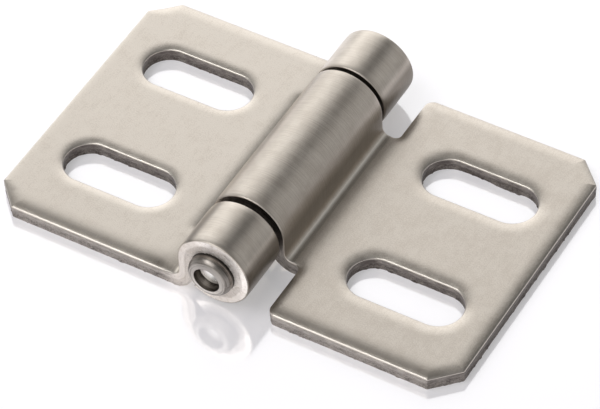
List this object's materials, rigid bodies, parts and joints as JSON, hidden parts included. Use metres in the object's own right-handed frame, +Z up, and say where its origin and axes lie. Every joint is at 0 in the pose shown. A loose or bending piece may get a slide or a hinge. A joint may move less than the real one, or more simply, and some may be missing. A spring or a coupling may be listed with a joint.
{
  "type": "butt hinge",
  "caption": "Butt hinge of folded sheet steel, lying open: chamfered leaves with slotted fixing holes and rolled knuckles that turn on a through pin with recessed, rounded ends.",
  "frame": {"origin": "on the mounting face, which is the underside of both leaves, under the middle of the pin", "axes": "+X across the leaves, from the leaf with the end knuckles to the leaf with the middle knuckle; +Y along the pin; +Z up from the mounting face"},
  "size_m": [0.08, 0.0538, 0.0127],
  "materials": {
    "leaf_steel": "satin stainless steel sheet with a fine grain, smooth die-rolled rims and rough sheared edges",
    "pin_steel": "turned stainless steel, smooth and darker than the leaves, with a bright drilled recess in each end"
  },
  "bodies": {
    "left": {"left_leaf": "leaf_steel", "hinge_pin": "pin_steel"},
    "right": {"right_leaf": "leaf_steel"}
  },
  "joints": [
    {"name": "leaf_swing", "type": "hinge", "parent": "left", "child": "right", "pos_m": [0, 0, 0.0065], "axis": [0, -1, 0], "range_deg": [-105, 190]}
  ]
}
